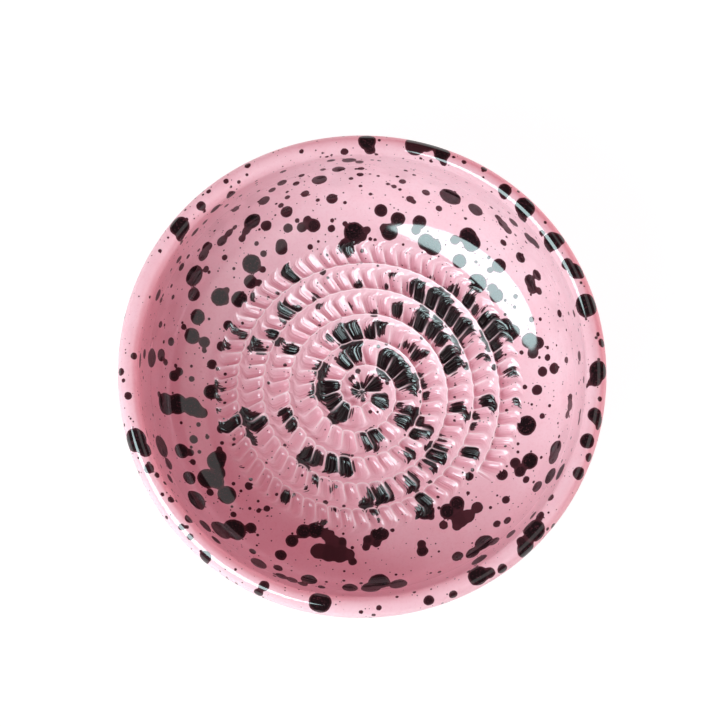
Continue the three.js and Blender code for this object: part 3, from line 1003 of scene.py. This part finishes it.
gloss = spread(tree, noise(tree, where, 60), 0.3, 0.7, 0.05, 0.09)
facing = add_node(tree, "ShaderNodeLayerWeight").outputs["Facing"]
gloss = math_node(tree, "MAXIMUM", gloss, spread(tree, facing, 0.45, 0.85, 0, 0.5))
gloss = math_node(tree, "MAXIMUM", gloss, spread(tree, layer["thin"], 0, 0.25, 0, 0.4))
tree.links.new(gloss, shader.inputs["Roughness"])
scores = math_node(tree, "MULTIPLY", marks, spread(tree, layer["hollow"], 0.05, 0.4))
scores = math_node(tree, "MULTIPLY", scores, spread(tree, cover, 0, 1, 0.3, 1))
scored = add_node(tree, "ShaderNodeBump", {"Height": scores, "Strength": 1, "Distance": SCORE_DEPTH})
ripple = add_node(tree, "ShaderNodeBump", {"Height": noise(tree, where, 260, 1), "Strength": 0.12,
                                           "Distance": RIPPLE_DEPTH,
                                           "Normal": scored.outputs["Normal"]})
tree.links.new(ripple.outputs["Normal"], shader.inputs["Normal"])
shader.inputs["IOR"].default_value = GLASS_IOR
print(f"glaze: {len(tree.nodes)} nodes")

# %% [markdown]
# ## Bare clay
# The foot shows the fired clay itself: a dry, buff surface with darker grains of grog in it. One
# coarse noise makes it cloudy, and one fine noise makes both the grains and the rough feel.

# %% Bare clay
CLAY = (0.62, 0.43, 0.31, 1)
PALE_CLAY = (0.72, 0.55, 0.42, 1)
GROG = (0.28, 0.17, 0.11, 1)
CLAY_ROUGHNESS = 0.85
GRAIN_DEPTH = 0.15 * MM

clay, tree, shader = new_material("bare_clay")
where = add_node(tree, "ShaderNodeTexCoord").outputs["Object"]
cloud = noise(tree, where, 140, 4)
grain = noise(tree, where, 1600, 3)
colour = blend_colours(tree, spread(tree, cloud, 0.3, 0.7), CLAY, PALE_CLAY)
colour = blend_colours(tree, spread(tree, grain, 0.6, 0.75, 0, 0.7), colour, GROG)
tree.links.new(colour, shader.inputs["Base Color"])
bump = add_node(tree, "ShaderNodeBump", {"Height": grain, "Strength": 0.5, "Distance": GRAIN_DEPTH})
tree.links.new(bump.outputs["Normal"], shader.inputs["Normal"])
shader.inputs["Roughness"].default_value = CLAY_ROUGHNESS
foot.data.materials.append(clay)
print(f"bare clay: {len(tree.nodes)} nodes, on {foot.name}")

# %% [markdown]
# ## Stage
# The bowl stands on a plain pale floor. The camera should see it as white without any more light on
# the bowl, so the floor glows to rays that see it, straight or in a reflection, and is an ordinary
# pale surface to all others. A dim second surface in the glow lets the bowl shade it a little.

# %% Pale floor
FLOOR_REACH = 3  # metres to each side
FLOOR_GLOW = 0.96
PALE = (0.8, 0.8, 0.8, 1)
DIM = (0.1, 0.1, 0.1, 1)
bm = bmesh.new()
bmesh.ops.create_grid(bm, x_segments=1, y_segments=1, size=FLOOR_REACH)
table_mesh = bpy.data.meshes.new("pale_floor")
bm.to_mesh(table_mesh)
bm.free()
table = bpy.data.objects.new("pale_floor", table_mesh)
bpy.context.scene.collection.objects.link(table)

white, tree, shader = new_material("pale_floor")
shader.inputs["Base Color"].default_value = PALE
shader.inputs["Roughness"].default_value = 0.9
shader.inputs["Specular IOR Level"].default_value = 0
rays = add_node(tree, "ShaderNodeLightPath").outputs
seen = math_node(tree, "MAXIMUM", rays["Is Camera Ray"], rays["Is Glossy Ray"])
seen = math_node(tree, "MAXIMUM", seen, rays["Is Transmission Ray"])
glow = add_node(tree, "ShaderNodeEmission", {"Strength": FLOOR_GLOW})
dim = add_node(tree, "ShaderNodeBsdfDiffuse", {"Color": DIM})
both = add_node(tree, "ShaderNodeAddShader", {0: glow.outputs[0], 1: dim.outputs[0]})
mixed = add_node(tree, "ShaderNodeMixShader", {0: seen, 1: shader.outputs[0], 2: both.outputs[0]})
tree.links.new(mixed.outputs[0], tree.nodes["Material Output"].inputs["Surface"])
table.data.materials.append(white)
print(f"floor of {2 * FLOOR_REACH} m that glows at {FLOOR_GLOW}")

# %% [markdown]
# ## Light
# The bowl stands beside a large window at its lower left, and the room behind it is dim and warm. The
# lamp that lights the bowl is small enough to shade the near side of the wall. Two large cards, which
# only reflections see, stand for the panes of the window and for the pale room on the right. Two weak
# warm lamps, which reflections don't see, are the light that comes back from the walls of the room.

# %% Lamps
CARD_DISTANCE = 0.9  # metres from the bowl


def soft_lamp(name, bearing, elevation, width, height, radiance, roll=0):
    """An oval lamp that faces the bowl, sized by the degrees that it spans as seen from there."""
    lamp = bpy.data.lights.new(name, "AREA")
    lamp.shape = "ELLIPSE"
    lamp.size = 2 * CARD_DISTANCE * math.tan(math.radians(width) / 2)
    lamp.size_y = 2 * CARD_DISTANCE * math.tan(math.radians(height) / 2)
    lamp.energy = radiance * math.pi * lamp.size * lamp.size_y * math.pi / 4
    thing = bpy.data.objects.new(name, lamp)
    bearing, elevation = math.radians(bearing), math.radians(elevation)
    thing.location = CARD_DISTANCE * Vector((math.cos(elevation) * math.cos(bearing),
                                             math.cos(elevation) * math.sin(bearing),
                                             math.sin(elevation)))
    facing = (-thing.location).to_track_quat("-Z", "Y")
    thing.rotation_euler = (facing @ Quaternion((0, 0, 1), math.radians(roll))).to_euler()
    bpy.context.scene.collection.objects.link(thing)
    print(f"{name}: {lamp.energy:.1f} W")
    return thing


daylight = soft_lamp("daylight", bearing=225, elevation=41, width=48, height=40, radiance=7.7)
daylight.data.color = (0.7, 1, 0.97)
daylight.visible_glossy = False
panes = soft_lamp("window_panes", bearing=211, elevation=56, width=47, height=34, radiance=10.8, roll=48)
panes.data.color = (0.74, 0.98, 1)
panes.visible_diffuse = False
room = soft_lamp("pale_room", bearing=-6, elevation=58, width=78, height=36, radiance=0.8)
room.visible_diffuse = False
warm = soft_lamp("warm_wall", bearing=15, elevation=8, width=70, height=20, radiance=4)
warm.data.color = (1, 0.5, 0.5)
warm.visible_glossy = False
far = soft_lamp("far_wall", bearing=105, elevation=35, width=70, height=40, radiance=0.6)
far.data.color = (1, 0.65, 0.7)
far.visible_glossy = False

# %% [markdown]
# The rest of the room is a plain background. Black glaze is black only as long as it has nothing
# bright to mirror, so the room is darker in a reflection than in the light that it gives. The view
# transform is Standard, which shows the colours as they are mixed.

# %% Dim, warm room
AMBIENT = 0.46
REFLECTED = 0.15  # as the glaze mirrors it
WARM = (1, 0.5, 0.58, 1)
world = bpy.data.worlds.new("room")
world.use_nodes = True
tree = world.node_tree
background = tree.nodes["Background"]
background.inputs["Color"].default_value = WARM
mirrored = add_node(tree, "ShaderNodeLightPath").outputs["Is Glossy Ray"]
strength = spread(tree, mirrored, 0, 1, AMBIENT, REFLECTED)
tree.links.new(strength, background.inputs["Strength"])
bpy.context.scene.world = world
bpy.context.scene.view_settings.view_transform = "Standard"
print(f"the room lights the bowl at {AMBIENT} and is mirrored at {REFLECTED}")
